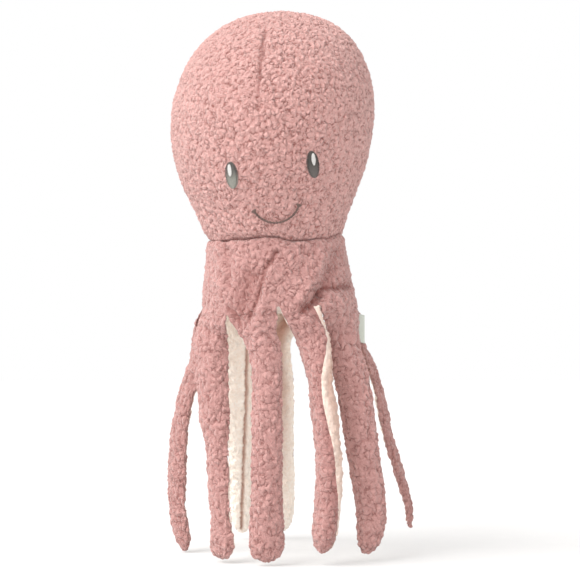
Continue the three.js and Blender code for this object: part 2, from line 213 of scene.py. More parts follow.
def curlPattern(board, place, nub):
    bent = place
    for kind in ("drift", "ruffle"):
        swirl = board.noise(place, curls[kind + "Scale"] / nub, curls[kind + "Detail"], 1)
        swirl = board.vectors("SUBTRACT", swirl, (0.5, 0.5, 0.5))
        bent = board.vectors("ADD", bent, board.scaled(swirl, curls[kind + "Reach"] * nub))
    cells = {"Vector": bent, "Scale": 1 / nub, "Randomness": curls["scatter"]}
    spread = board.node("ShaderNodeTexVoronoi", {"feature": "SMOOTH_F1"},
                        dict(cells, Smoothness=curls["softness"]))
    dome = 1 - board.ease(spread, 0.0, curls["domeWidth"])
    worm = board.maths("ABSOLUTE", board.noise(bent, curls["wormScale"] / nub, 1.5) - 0.5, 0.0)
    curl = 1 - board.ease(worm, 0.0, curls["wormWidth"])
    edge = board.node("ShaderNodeTexVoronoi", {"feature": "DISTANCE_TO_EDGE"}, cells)
    depth = board.ease(board.noise(place, curls["crackScale"] / nub, 1.0), *curls["crackSpan"])
    crack = (1 - board.ease(edge, 0.0, curls["crackWidth"])) * depth
    return dome, curl, crack


pileForm = {"dome": 0.75, "curl": 0.25, "crack": 0.5, "level": 0.8, "lumps": 0.9, "lumpScale": 0.16}


def makePileTree():
    board, (skin, nub, relief, rise, finish) = newTree("curly pile", ("Nub Size", "Relief", "Rise"))
    place = board.node("GeometryNodeInputPosition")
    kept = board.node("GeometryNodeStoreNamedAttribute", {"data_type": "FLOAT_VECTOR"},
                      {"Geometry": skin, "Name": "fleecePlace", "Value": place})
    out = board.field("skinNormal")
    fade = board.field("pileFade", "FLOAT")
    dome, curl, crack = curlPattern(board, place, nub)
    lumps = board.noise(place, pileForm["lumpScale"] / nub, 1.0) - 0.5
    height = pileForm["dome"] * dome + pileForm["curl"] * curl - pileForm["crack"] * crack
    offset = fade * (relief * (height - pileForm["level"]) + rise + pileForm["lumps"] * relief * lumps)
    moved = board.node("GeometryNodeSetPosition", None,
                       {"Geometry": kept, "Offset": board.scaled(out, offset)})
    return endTree(board, moved, finish)


# Materials

def newMaterial(name):
    material = bpy.data.materials.new(name)
    material.use_nodes = True
    material.node_tree.nodes.clear()
    return material, Board(material.node_tree)


def finishMaterial(board, colour, roughness, bump, sheen=0.3, sheenTint="#ffffff"):
    values = {"Base Color": colour, "Roughness": roughness, "Normal": bump, "Sheen Weight": sheen,
              "Sheen Roughness": 0.45, "Sheen Tint": paint(sheenTint), "Specular IOR Level": 0.25}
    shader = board.node("ShaderNodeBsdfPrincipled", None, values)
    board.node("ShaderNodeOutputMaterial", None, {"Surface": shader})


def fleece(name, look):
    material, board = newMaterial(name)
    place = board.node("ShaderNodeAttribute", {"attribute_name": "fleecePlace"}, None, 1)
    shade = board.node("ShaderNodeAttribute", {"attribute_name": "foldShade"}, None, 2)
    nub = look["nub"]
    dome, curl, crack = curlPattern(board, place, nub)
    crack = crack * look["crackShare"]
    fuzz = board.noise(place, 1 / look["fibre"], 3.0)
    blotch = board.noise(place, 1 / look["blotch"], 2.0)
    # The tone runs from low to high with the curls' height: painted shade deep in the pile and lighter tops,
    # with random fine mottling from the fuzz
    bulk = dome * (1 - look["curl"]) + curl * look["curl"]
    lit = bulk * look["bulkTone"] + fuzz * look["fuzzTone"] - look["darker"]
    tone = board.mixed(lit, paint(look["low"]), paint(look["high"]))
    stain = board.ease(blotch, *look["blotchSpan"]) * look["blotchShare"]
    tone = board.mixed(stain, tone, paint(look["blotchTone"]))
    # Painted shade in the cracks between the curls
    tone = board.mixed(crack, tone, paint(look["crack"]))
    # Painted shade from the foldShade attribute: folds, the dart, the back seam, the neck crease and shaded
    # tentacle sides, mixed towards the fold colour
    tone = board.mixed(shade, tone, paint(look["fold"]))
    height = bulk * look["bulk"] + fuzz * look["fuzz"] - crack * look["crackDepth"]
    bump = board.bump(look["bump"], look["bumpDepth"], height)
    roughness = look["rough"] - look["domeGloss"] * dome
    finishMaterial(board, tone, roughness, bump, look["sheen"], look["sheenTint"])
    return material


# low to high is painted shade from the pile's deep parts to its tops; crack and fold are the colours of
# painted shade in the cracks and in folds and seams; blotchTone is random mottling
pinkHead = {
    "nub": 0.0041, "crackShare": 0.8, "crackDepth": 0.4, "bulk": 0.8, "curl": 0.45, "fibre": 0.0009,
    "fuzz": 0.55, "bulkTone": 0.6, "fuzzTone": 0.7, "darker": 0.12, "blotch": 0.012, "blotchShare": 0.2,
    "blotchSpan": (0.35, 0.7), "low": "#b4847e", "high": "#e3b3ae", "blotchTone": "#ce9a95",
    "crack": "#86473e", "fold": "#7a413a", "bump": 0.95, "bumpDepth": 0.0016, "rough": 0.9,
    "domeGloss": 0.1, "sheen": 0.5, "sheenTint": "#fff1ee",
}
pinkLimb = dict(pinkHead, nub=0.0052, crackShare=0.62, curl=0.5, low="#a17571", high="#c89b96",
                blotchTone="#b38580", crack="#73413a", bump=0.75, fuzz=0.6)
creamLimb = dict(pinkHead, nub=0.0046, crackShare=0.12, curl=0.5, low="#faeadc", high="#fffcf6",
                 blotchTone="#fdf1e4", crack="#dcbb9e", fold="#b58978", bump=0.6, bumpDepth=0.0012,
                 sheenTint="#fff8f2")
headFleece = fleece("pink fleece on the head", pinkHead)
limbFleece = fleece("pink fleece on the torso and tentacles", pinkLimb)
creamFleece = fleece("cream fleece lining", creamLimb)


floss = {"scale": 900, "patchScale": 160, "share": 0.7, "patchShare": 0.3, "bump": 0.4, "bumpDepth": 0.0003,
         "sheen": 0.15, "roughSpread": 0.15, "glintBelow": 0.009, "glintAbove": 0.002,
         "glint": 0.55, "glintSpread": 0.6}


def thread(name, low, high, roughness, glint=None, level=0.0):
    material, board = newMaterial(name)
    place = board.node("ShaderNodeTexCoord", None, None, 3)
    strands = board.noise(place, floss["scale"], 3.0)
    patches = board.noise(place, floss["patchScale"], 1.0)
    mix = strands * floss["share"] + patches * floss["patchShare"]
    colour = board.mixed(mix, paint(low), paint(high))
    if glint:
        tall = board.node("ShaderNodeSeparateXYZ", None, {"Vector": place}, 2)
        lit = 1 - board.ease(tall, level - floss["glintBelow"], level + floss["glintAbove"])
        colour = board.mixed(lit * (floss["glint"] + floss["glintSpread"] * strands), colour, paint(glint))
    bump = board.bump(floss["bump"], floss["bumpDepth"], strands)
    finishMaterial(board, colour, roughness + floss["roughSpread"] * strands, bump, floss["sheen"])
    return material


eyeLevel = rimCentre[2] + 0.1175  # the eyes' middle, where their thread turns lighter
rightEyeThread = thread("charcoal thread of the right eye", "#454240", "#6d6a66", 0.5, "#8f8f87",
                        eyeLevel - 0.002)
leftEyeThread = thread("charcoal thread of the left eye", "#3b3836", "#5d5855", 0.5, "#67625f",
                       eyeLevel + 0.004)
edgeThread = thread("charcoal thread round the eyes", "#35302e", "#5a524e", 0.55)
mouthThread = thread("brown embroidery thread", "#4b3a36", "#75605a", 0.55)
whiteThread = thread("white embroidery thread", "#b4b2b0", "#dddbd9", 0.5)
print("materials made")


# The cage of the whole skin, in millimetres from the middle of the skirt's rim

form = {
    "sectorColumns": 14, "rowStep": 4.7, "torsoRows": 0.9,
    "sectors": (-170, -132, -90, -41, -1, 30, 90, 150, 190),
    "order": (7, 1, 2, 3, 4, 5, 6, 8),
    "neckHeight": 61.5, "neckShift": -3.5, "headNeck": (55.6, 48.4), "torsoNeck": (55.4, 49.0),
    "creasePull": ((-170, 3.2), (-110, .6), (-78, .3), (-60, 2.5), (30, 3), (48, .6), (110, .4), (140, 3),
                   (190, 3.2)),
    "creaseLip": 1.1, "headLip": 0.4, "torsoLip": 0.7, "lipPlace": 4, "lipWidth": 4, "waveFade": 12,
    "creaseWave": ((-170, 0), (-100, -1), (-80, -2.4), (-50, -3.1), (-36, -1.9), (-24, -1.8), (-18, -.8),
                   (-6, 0), (4, -.5), (8.5, -2.4), (14, -3), (26, -2.7), (37, -1.6), (41, -.6), (51, -.8),
                   (58, 1), (75, 4.6), (110, 1), (190, 0)),
    "headHeight": 195.0, "headSize": (88.5, 83.0), "cheekHeight": 101.0, "cheekPower": 0.92,
    "crownPower": 0.87, "bow": 6.0, "bowPower": 0.7, "crownShift": 5.0,
    "rimSize": (68.0, 58.0), "skirtPower": 0.55,
    "rimWave": ((-170, 0), (-90, 0), (-62, 0), (-41, -5), (-24, 0), (-1, 5), (14, 1), (30, 6), (60, 0),
                (190, 0)),
    "undersideRows": 9, "undersideDip": 1.0,
}
limbs = {
    "length": 210.0, "halfWidth": 14.5, "halfThickness": 8.0, "web": 26.0, "tipStart": 0.84,
    "webRings": (2.0, 4.6, 8.0), "tipFrom": 0.9, "tipReach": 0.1, "tipRings": 6, "corners": 0.92,
    "scallop": 0.7, "seamWidth": 1.5, "bendLength": 0.027,
    "rows": [
        {"angle": -112.5, "side": (-.05, -.08, -.138, -.156, -.122), "back": (.005, .02, .04, .05, .05),
         "drop": (.07, .224, .447, .8, 1), "twist": (0, 50, 60, 60), "width": (.95, .95, .9, .78),
         "full": .85, "wrap": (4, 1), "shadeBand": (.12, 1, 9, 9)},
        {"angle": -67.5, "side": (-.01, -.002, .013, .03, .039), "back": (-.01, -.04, -.05, -.065, -.07),
         "drop": (.08, .33, .55, .84, .99), "twist": (28, 44, 40, 26, 20, 24),
         "width": (1.1, 1.12, 1.04, .84, .78, .98), "full": 1.0, "wrap": (1, 1), "tip": .9},
        {"angle": -22.5, "side": (.036, .056, .061, .061, .06), "back": (-.006, -.01, -.02, -.03, -.02),
         "drop": (.1, .18, .36, .67, .99), "twist": (0, 15, 22, 22), "width": (1.08, .92, .95, 1.12),
         "full": 1.0, "wrap": (1, 1), "tip": .89},
        {"angle": 22.5, "side": (.034, .054, .08, .084, .062), "back": (-.01, -.02, -.03, -.035, -.03),
         "drop": (.15, .28, .52, .7, .955), "twist": (0, -90, -80, -68), "width": (1, .98, .95, .85),
         "full": 1.4, "wrap": (-2, 0), "seam": (0, 0, .45, 1.3), "shadeBand": (.95, 1.25, 1.3, 1.8)},
        {"angle": 67.5, "side": (-.004, .027, .066, .1, .08), "back": (-.015, -.03, -.045, -.05, -.05),
         "drop": (.14, .286, .55, .82, .97), "twist": (-30, -60, -66, -64),
         "width": (1.08, 1.06, .99, .82), "full": 1.0, "wrap": (1, 1)},
        {"angle": 118, "side": (.066, .129, .188, .264, .28), "back": (.02, .035, .055, .08, .085),
         "drop": (.144, .286, .53, .8, .912), "twist": (0, -45, -60, -66), "width": (.95, .72, .56, .24),
         "full": .65, "wrap": (2, 4), "shadeBand": (.12, 1, 9, 9)},
        {"angle": -152, "side": (-.024, -.03, -.03, -.028), "back": (.04, .11, .24, .335),
         "drop": (.14, .32, .65, .975), "twist": (0, 0, 0, 0), "width": (1.18, 1.06, .9, .82), "full": .9},
        {"angle": 172.5, "side": (-.052, -.045, -.037, -.034), "back": (.04, .11, .235, .325),
         "drop": (.14, .32, .65, .97), "twist": (0, 6, 10, 6), "width": (.82, .95, .88, .84), "full": .9,
         "shadeBand": (1, 1.5, .8, 1.1)},
    ],
}
# Millimetres by which the skin is drawn in before it is stuffed, and the most the stuffing may move it
drawnIn = {"head": 3.0, "headEase": 30, "crown": 1.8, "crownFrom": 0.5, "crownEase": 0.3, "crownTop": 4.0,
           "torso": 1.7, "torsoEase": 25, "tentacle": 0.9, "tip": 0.3}
mostMove = {"seam": 2.0, "head": 3.0, "torso": 2.5, "tentacle": 1.2, "tip": 1.0, "underside": 0.5}
columns = len(limbs["rows"]) * form["sectorColumns"]
limits = zip(form["sectors"], form["sectors"][1:])
turns = np.radians(np.concatenate([np.linspace(a, b, form["sectorColumns"] + 1)[:-1] for a, b in limits]))
neck = np.array([form["neckShift"], 0, form["neckHeight"]])


def ringAt(halfWidth, halfDepth, side, level):
    return np.stack([halfWidth * np.sin(turns) + side, -halfDepth * np.cos(turns), level + 0 * turns], 1)


def lengthsAlong(line):
    return np.concatenate([[0], np.cumsum(np.linalg.norm(np.diff(line, axis=0), axis=1))])


def waveAt(name, angles):
    return np.interp(np.degrees(angles), *np.array(form[name]).T)


def headProfile():
    climb = np.linspace(0, 1, 400)
    full = np.sin(climb * np.pi / 2) ** form["cheekPower"]
    arc = climb * np.pi / 2
    halfNeck, halfHead = np.array(form["headNeck"]), np.array(form["headSize"])
    cheeks = np.column_stack([halfNeck + np.outer(full, halfHead - halfNeck), climb * form["cheekHeight"]])
    rise = form["headHeight"] - form["cheekHeight"]
    power = form["crownPower"]
    inward = np.clip(np.cos(arc), 0, 1) ** power
    crown = np.column_stack([np.outer(inward, halfHead), form["cheekHeight"] + rise * np.sin(arc) ** power])
    return np.vstack([cheeks, crown[1:]])


def torsoProfile():
    rise = np.linspace(1, 0, 300)
    halfNeck, halfRim = np.array(form["torsoNeck"]), np.array(form["rimSize"])
    opened = (1 - rise) ** form["skirtPower"]
    return np.column_stack([halfNeck + np.outer(opened, halfRim - halfNeck), rise * form["neckHeight"]])


def evenRows(profile, step, first):
    lengths = lengthsAlong(profile)
    count = max(2, round((lengths[-1] - first) / step))
    stops = first + (lengths[-1] - first) * np.arange(count + 1) / count
    return np.column_stack([np.interp(stops, lengths, profile[:, k]) for k in range(3)]), stops


def alongRow(row, share):
    place = share * (len(row) - 1)
    step = min(int(place), len(row) - 2)
    ease = place - step
    return row[step] + (row[step + 1] - row[step]) * ease * ease * (3 - 2 * ease)


def middleLine(stops):
    stops = np.vstack([2 * stops[0] - stops[1], stops, 2 * stops[-1] - stops[-2]])
    line = []
    for k in range(1, len(stops) - 2):
        p = stops[k - 1:k + 3]
        d = np.sqrt(np.linalg.norm(np.diff(p, axis=0), axis=1))
        slopeIn = ((p[1] - p[0]) / d[0] - (p[2] - p[0]) / (d[0] + d[1]) + (p[2] - p[1]) / d[1]) * d[1]
        slopeOut = ((p[2] - p[1]) / d[1] - (p[3] - p[1]) / (d[1] + d[2]) + (p[3] - p[2]) / d[2]) * d[1]
        t = np.linspace(0, 1, 121)[:-1, None]
        line.append(p[1] + slopeIn * t + (3 * (p[2] - p[1]) - 2 * slopeIn - slopeOut) * t ** 2
                    + (2 * (p[1] - p[2]) + slopeIn + slopeOut) * t ** 3)
    line = np.vstack(line + [stops[-2][None]])
    lengths = lengthsAlong(line)
    return lambda far: np.array([np.interp(far, lengths, line[:, k]) for k in range(3)]), lengths[-1]


# Each point is held by a seam or not, and has the most it may move, its gap to a seam, how far it is
# drawn in and its shade. Each face has a tag: 0 head, 1 torso, 2 underside, then the halves of each tentacle.
class Cage:
    def __init__(self):
        self.points = []
        self.faces = []
        self.tags = []
        self.fields = {"held": [], "cap": [], "gap": [], "tuck": [], "shade": []}

    def add(self, points, cap, tuck, held=False, gap=99.0, shade=0.0):
        start = len(self.points)
        self.points.extend(np.asarray(points).tolist())
        values = {"held": held, "cap": cap, "gap": gap, "tuck": tuck, "shade": shade}
        for name, value in values.items():
            self.fields[name].extend(np.broadcast_to(value, len(points)).tolist())
        return list(range(start, len(self.points)))

    def strip(self, first, second, tags):
        count = len(first)
        for k in range(count):
            after = (k + 1) % count
            self.faces.append((first[k], first[after], second[after], second[k]))
        self.tags.extend(np.broadcast_to(tags, count).tolist())

    def close(self, ring, point, cap, tuck, tags):
        hub = self.add([point], cap, tuck)[0]
        count = len(ring)
        self.faces.extend((ring[k], ring[(k + 1) % count], hub) for k in range(count))
        self.tags.extend(np.broadcast_to(tags, count).tolist())


def lipAt(stop):
    return math.exp(-((stop - form["lipPlace"]) / form["lipWidth"]) ** 2)


# Head and torso rings, with the crease of the neck seam between them
cage = Cage()
wave = waveAt("creaseWave", turns)
pull = waveAt("creasePull", turns)
crease = ringAt(form["headNeck"][0] - pull, form["headNeck"][1] - pull, neck[0], neck[2] + wave)
creaseRow = cage.add(crease, cap=mostMove["seam"], tuck=0.0, held=True, gap=0.0)
rows, stops = evenRows(headProfile(), form["rowStep"], form["creaseLip"])
last = creaseRow
for (halfWidth, halfDepth, height), stop in zip(rows[:-1], stops[:-1]):
    share = height / form["headHeight"]
    side = neck[0] + form["crownShift"] * share - form["bow"] * math.sin(math.pi * share ** form["bowPower"])
    level = neck[2] + height + wave * math.exp(-height / form["waveFade"])
    swell = form["headLip"] * lipAt(stop)
    tuck = drawnIn["head"] * smooth(stop / drawnIn["headEase"])
    tuck += drawnIn["crown"] * smooth((share - drawnIn["crownFrom"]) / drawnIn["crownEase"])
    ring = ringAt(halfWidth + swell, halfDepth + swell, side, level)
    row = cage.add(ring, cap=mostMove["head"], gap=stop, tuck=tuck)
    cage.strip(last, row, 0)
    last = row
crown = [neck[0] + form["crownShift"], 0, neck[2] + form["headHeight"]]
cage.close(last, crown, mostMove["head"], drawnIn["crownTop"], 0)

rows, stops = evenRows(torsoProfile(), form["rowStep"] * form["torsoRows"], form["creaseLip"])
last = creaseRow
corners = np.arange(columns) % form["sectorColumns"] == 0
rimWave = waveAt("rimWave", turns)
for index, ((halfWidth, halfDepth, level), stop) in enumerate(zip(rows, stops)):
    rise = level / form["neckHeight"]
    low = index == len(rows) - 1
    swell = form["torsoLip"] * lipAt(stop)
    ring = ringAt(halfWidth + swell, halfDepth + swell, form["neckShift"] * rise,
                  level + wave * math.exp(-stop / form["waveFade"]) + rimWave * (1 - rise) ** 2)
    tuck = drawnIn["torso"] * smooth(stop / drawnIn["torsoEase"])
    row = cage.add(ring, held=corners & low, cap=mostMove["torso"], gap=stop, tuck=tuck)
    cage.strip(last, row, 1)
    last = row
rimRow = last

# Tentacles. Each ring runs over the outer half from one edge to the other and back under the lining.
half = form["sectorColumns"]
rimWide, rimDeep = form["rimSize"]
innerRim = {}
spans = {}
for number, spec in enumerate(limbs["rows"], 1):
    around = math.radians(spec["angle"])
    out = np.array([math.sin(around) / rimWide, -math.cos(around) / rimDeep, 0])
    out /= np.linalg.norm(out)
    hinge = np.array([rimWide * math.sin(around), -rimDeep * math.cos(around), 0])
    thick = limbs["halfThickness"] * spec["full"]
    root = hinge - out * thick
    path = [root]
    for side, back, drop in zip(spec["side"], spec["back"], spec["drop"]):
        path.append(root + limbs["length"] * np.array([side, back, -drop]))
    lineAt, length = middleLine(np.array(path))
    across = np.array([out[1], -out[0], 0])
    sector = form["order"].index(number)
    first = sector * half
    spread = np.radians(np.linspace(form["sectors"][sector], form["sectors"][sector + 1], half + 1))
    rim = np.column_stack([rimWide * np.sin(spread), -rimDeep * np.cos(spread), 0 * spread])
    inward = np.column_stack([np.sin(spread) / rimWide, -np.cos(spread) / rimDeep, 0 * spread])
    inward /= -np.linalg.norm(inward, axis=1)[:, None]
    inset = 2 * thick * np.sin(np.linspace(0, np.pi, half + 1)) ** limbs["scallop"]
    scallop = rim + inward * inset[:, None]
    rim[:, 2] = waveAt("rimWave", spread)
    rootRing = np.vstack([rim, scallop[half - 1:0:-1]])
    outerIndex = [rimRow[(first + k) % columns] for k in range(half + 1)]
    innerIndex = cage.add(rootRing[half + 1:], cap=mostMove["underside"], tuck=0.0)
    innerRim[first % columns] = innerIndex[::-1]
    last = outerIndex + innerIndex
    near, far = spec.get("wrap", (0, 0))
    tags = [1 + 2 * number] * (half + near) + [2 + 2 * number] * (half - near - far)
    tags += [1 + 2 * number] * far
    edges = np.zeros(2 * half, bool)
    edges[[0, half]] = True
    evenly = np.linspace(0, 2 * np.pi, 2 * half + 1)[:-1]
    tipStart = spec.get("tip", limbs["tipStart"])
    # Painted shade round each ring: its depth, its middle in half turns, its width in radians and the share
    # of the length by which it has faded
    shadeDepth, shadeMiddle, shadeWidth, shadeEnd = spec.get("shadeBand", (0, 1, 1, 1))
    distances = list(limbs["webRings"])
    webEnd, tipFrom = distances[-1], limbs["tipFrom"]
    steps = round((tipFrom * length - webEnd) / form["rowStep"])
    distances += list(np.linspace(webEnd, tipFrom * length, steps + 1)[1:])
    closing = np.sin(np.pi / 2 * np.arange(1, limbs["tipRings"]) / limbs["tipRings"])
    distances += list(length * (tipFrom + limbs["tipReach"] * closing))
    for distance in distances:
        share = distance / length
        past = max(0, (share - tipStart) / (1 - tipStart))
        blunt = math.sqrt(max(0, 1 - past ** 3))
        halfWidth = limbs["halfWidth"] * alongRow(spec["width"], share) * blunt
        halfThick = thick * blunt
        turn = math.radians(alongRow(spec["twist"], share))
        level = np.array([across[0] * math.cos(turn) - across[1] * math.sin(turn),
                          across[0] * math.sin(turn) + across[1] * math.cos(turn), 0])
        along = lineAt(distance + 0.5) - lineAt(distance - 0.5)
        along /= np.linalg.norm(along)
        outwards = np.cross(level, along)
        outwards /= np.linalg.norm(outwards)
        level = np.cross(along, outwards)
        slide = alongRow(spec.get("seam", (0, 0)), share) * smooth(distance / limbs["web"])
        angles = evenly + slide * np.exp(-((evenly - np.pi) / limbs["seamWidth"]) ** 2)
        u = halfWidth * np.sign(np.cos(angles)) * np.abs(np.cos(angles)) ** limbs["corners"]
        v = halfThick * np.sign(np.sin(angles)) * np.abs(np.sin(angles)) ** limbs["corners"]
        # Painted shade on the shaded linings of tentacles 4 and 8 and, a little, all over the rear tentacles
        # 1 and 6
        shade = np.exp(-((angles - shadeMiddle * np.pi) / shadeWidth) ** 2)
        shade *= shadeDepth * smooth(1 - share / shadeEnd)
        section = lineAt(distance) + np.outer(u, level) + np.outer(v, outwards)
        start = rootRing + lineAt(distance) - lineAt(0)
        blend = smooth(distance / limbs["web"])
        points = start * (1 - blend) + section * blend
        row = cage.add(points, held=edges, cap=mostMove["tentacle"], tuck=drawnIn["tentacle"] * blunt,
                       shade=shade)
        cage.strip(last, row, tags)
        last = row
    cage.close(last, lineAt(length), mostMove["tip"], drawnIn["tip"], tags)
    hingeWorld = rimCentre + millimetre * hinge
    spans[number] = (hingeWorld, hingeWorld - np.array([0, 0, limbs["bendLength"]]))

# Underside, from the roots' inner edges to its middle
edge = []
for column in range(0, columns, half):
    edge += [rimRow[column]] + innerRim[column]
outline = np.array([cage.points[k] for k in edge])
last = edge
for k in range(1, form["undersideRows"]):
    share = k / form["undersideRows"]
    points = outline * (1 - share)
    points[:, 2] = -form["undersideDip"] * math.sin(share * np.pi / 2)
    row = cage.add(points, cap=mostMove["underside"], tuck=0.0)
    cage.strip(last, row, 2)
    last = row
cage.close(last, [0, 0, -form["undersideDip"]], mostMove["underside"], 0.0, 2)


def newObject(name, data):
    made = bpy.data.objects.new(name, data)
    bpy.context.scene.collection.objects.link(made)
    return made


def makeMesh(name, points, faces):
    mesh = bpy.data.meshes.new(name)
    mesh.from_pydata([tuple(p) for p in points], [], faces)
    mesh.update()
    return newObject(name, mesh)


def turnedOut(piece):
    shape = bmesh.new()
    shape.from_mesh(piece.data)
    bmesh.ops.recalc_face_normals(shape, faces=shape.faces)
    shape.to_mesh(piece.data)
    shape.free()


def readPoints(mesh):
    points = np.empty(3 * len(mesh.vertices))
    mesh.vertices.foreach_get("co", points)
    return points.reshape(-1, 3)


def movePoints(mesh, points):
    mesh.vertices.foreach_set("co", points.ravel())
    mesh.update()


def readNormals(mesh):
    normals = np.empty(3 * len(mesh.vertices))
    mesh.vertex_normals.foreach_get("vector", normals)
    return normals.reshape(-1, 3)


def readField(mesh, name, kind=np.float32):
    data = mesh.attributes[name].data
    values = np.empty(len(data), kind)
    data.foreach_get("value", values)
    return values


def setField(mesh, name, values, kind="FLOAT", domain="POINT"):
    data = mesh.attributes.new(name, kind, domain).data
    values = np.array(values, np.int32 if kind == "INT" else np.float32)
    data.foreach_set("vector" if kind == "FLOAT_VECTOR" else "value", values.ravel())


skin = makeMesh("skin", rimCentre + millimetre * np.array(cage.points), cage.faces)
turnedOut(skin)
setField(skin.data, "pieceTag", cage.tags, "INT", "FACE")
setField(skin.data, "seamGap", cage.fields["gap"])
setField(skin.data, "foldShade", cage.fields["shade"])
print("cage:", len(cage.points), "points")


# Stuffing: the skin is drawn in a little, then swells against its seams as far as its slack lets it.
stuffingFrames = 16
stuffing = {
    "quality": 6, "mass": 0.003, "tension_stiffness": 22.0, "compression_stiffness": 22.0,
    "shear_stiffness": 6, "bending_stiffness": 0.2, "use_pressure": True, "uniform_pressure_force": 60.0,
    "shrink_min": -0.015, "vertex_group_mass": "seams",
}


def stuff(piece):
    rest = readPoints(piece.data)
    normals = readNormals(piece.data)
    held = np.array(cage.fields["held"])
    tuck = np.where(held, 0, np.array(cage.fields["tuck"]))[:, None] * millimetre
    start = rest - normals * tuck
    movePoints(piece.data, start)
    seams = piece.vertex_groups.new(name="seams")
    seams.add(np.flatnonzero(held).tolist(), 1.0, "REPLACE")
    cloth = piece.modifiers.new("stuffing", "CLOTH")
    cloth.point_cache.frame_start = 1
    cloth.point_cache.frame_end = stuffingFrames
    for key, value in stuffing.items():
        setattr(cloth.settings, key, value)
    cloth.settings.effector_weights.gravity = 0
    cloth.collision_settings.use_collision = False
    cloth.collision_settings.use_self_collision = False
    for shot in range(1, stuffingFrames + 1):
        bpy.context.scene.frame_set(shot)
    seen = piece.evaluated_get(bpy.context.evaluated_depsgraph_get())
    moved = readPoints(seen.to_mesh()) - start
    seen.to_mesh_clear()
    reach = np.linalg.norm(moved, axis=1)
    caps = np.array(cage.fields["cap"]) * millimetre
    print("stuffing moved the skin by", np.round(np.percentile(reach, (5, 50, 95)) * 1000, 2), "mm")
    for part, name in enumerate(("head", "torso")):
        members = np.unique(np.concatenate([f for f, t in zip(cage.faces, cage.tags) if t == part]))
        swelled = ((moved - normals * tuck) * normals).sum(1)[members] / millimetre
        print(name, "against its form", np.round(np.percentile(swelled, (5, 50, 95)), 2))
    moved *= np.minimum(1, caps / np.maximum(reach, 1e-9))[:, None]
    piece.modifiers.remove(cloth)
    piece.vertex_groups.clear()
    bpy.context.scene.frame_set(1)
    movePoints(piece.data, start + moved)


stuff(skin)

# Finer skin
divide = skin.modifiers.new("finer", "SUBSURF")
divide.levels = 2
divide.render_levels = 2
fineMesh = madePlain(skin, divide).data
points = readPoints(fineMesh)
normals = readNormals(fineMesh)
print("finer skin:", len(points), "points")


# Folds and seams as they are seen from the front: across and up in millimetres from the neck point
neckWorld = rimCentre + millimetre * neck
reaches = {"turn": 2.2, "fold": 0.012, "face": 0.03, "neckBlend": 0.018}
# Each fold has its line, its depth and width in millimetres, and the painted shade laid in it
folds = [
    {"line": ((40, -12), (31, -34), (21, -54)), "depth": 2.6, "width": 5, "shade": 0},
    {"line": ((52, -14), (46, -30), (38, -44)), "depth": -2.2, "width": 7, "shade": .3},
    {"line": ((64, -40), (52, -42), (42, -41), (37, -47)), "depth": -3.2, "width": 3.2, "shade": .75},
    {"line": ((37, -47), (31, -54), (24, -60)), "depth": -3.4, "width": 4.5, "shade": .8},
    {"line": ((58, -52), (46, -56)), "depth": 1.6, "width": 6, "shade": 0},
    {"line": ((1, -12), (-9, -27), (-12, -40), (-16, -53), (-22, -67)), "depth": -2.6, "width": 2.2,
     "shade": .7},
    {"line": ((-19, -32), (-25, -46), (-28, -66)), "depth": -3.4, "width": 7.5, "shade": .45},
    {"line": ((-39, -59), (-30, -73)), "depth": -2.0, "width": 2.5, "shade": .6},
    {"line": ((-5, -30), (-8, -50), (-14, -72)), "depth": 2.2, "width": 4.5, "shade": 0},
    {"line": ((-49, -4), (-46, -48)), "depth": 1.8, "width": 4, "shade": 0},
    {"line": ((-40, -10), (-38, -44)), "depth": -1.2, "width": 3, "shade": .2},
]
rearFold = {"line": ((-25, -96), (-26.5, -150), (-29.5, -200), (-32, -262)), "depth": -2.6, "width": 1.5,
            "shade": .9}
dart = {"line": ((-6, 200), (-7.6, 176), (-8.9, 165), (-11, 155), (-10, 148), (-12, 140), (-12, 130),
                 (-13.6, 120), (-14, 96)),
        "depth": -1.2, "width": 1.2, "shoulder": 0.9, "shoulderPlace": 6, "shoulderWidth": 7,
        "end": 90, "endEase": 6, "top": 166, "topEase": 14, "topLeft": 0.1,
        "low": 130, "lowEase": 30, "lowLeft": 0.15}
backSeam = {"line": ((-7.5, 200), (-7.5, -70)), "depth": -1.6, "width": 1.7, "end": 4, "endEase": 8}


def gapToLine(flat, line):
    best = np.full(len(flat), 1e9)
    for (ax, az), (bx, bz) in zip(line, line[1:]):
        a, d = np.array([ax, az]), np.array([bx - ax, bz - az])
        t = np.clip((flat - a) @ d / (d @ d), 0, 1)
        best = np.minimum(best, np.linalg.norm(flat - a - t[:, None] * d, axis=1))
    return best


flat = (points - neckWorld)[:, [0, 2]] / millimetre
front = smooth(-normals[:, 1] * reaches["turn"])
move = np.zeros(len(points))
paintedFoldShade = np.zeros(len(points))
forward = points[:, 1] < neckWorld[1] + reaches["fold"]
for fold in folds + [rearFold]:
    side = ~forward if fold is rearFold else forward
    reach = np.exp(-(gapToLine(flat, fold["line"]) / fold["width"]) ** 2) * front * side
    move += fold["depth"] * reach
    # Painted shade in the folds
    paintedFoldShade = np.maximum(paintedFoldShade, fold["shade"] * reach)
up = flat[:, 1]
inFront = (points[:, 1] < neckWorld[1]) * smooth((up - dart["end"]) / dart["endEase"])
inFront *= 1 - (1 - dart["topLeft"]) * smooth((up - dart["top"]) / dart["topEase"])
rising = smooth((up - dart["low"] + dart["lowEase"]) / dart["lowEase"])
inFront *= dart["lowLeft"] + (1 - dart["lowLeft"]) * rising
away = gapToLine(flat, dart["line"])
dartDepth = np.exp(-(away / dart["width"]) ** 2) * inFront
move += dart["depth"] * dartDepth
shoulder = np.exp(-((away - dart["shoulderPlace"]) / dart["shoulderWidth"]) ** 2)
move += dart["shoulder"] * shoulder * inFront
behind = (points[:, 1] > neckWorld[1]) * smooth((up - backSeam["end"]) / backSeam["endEase"])
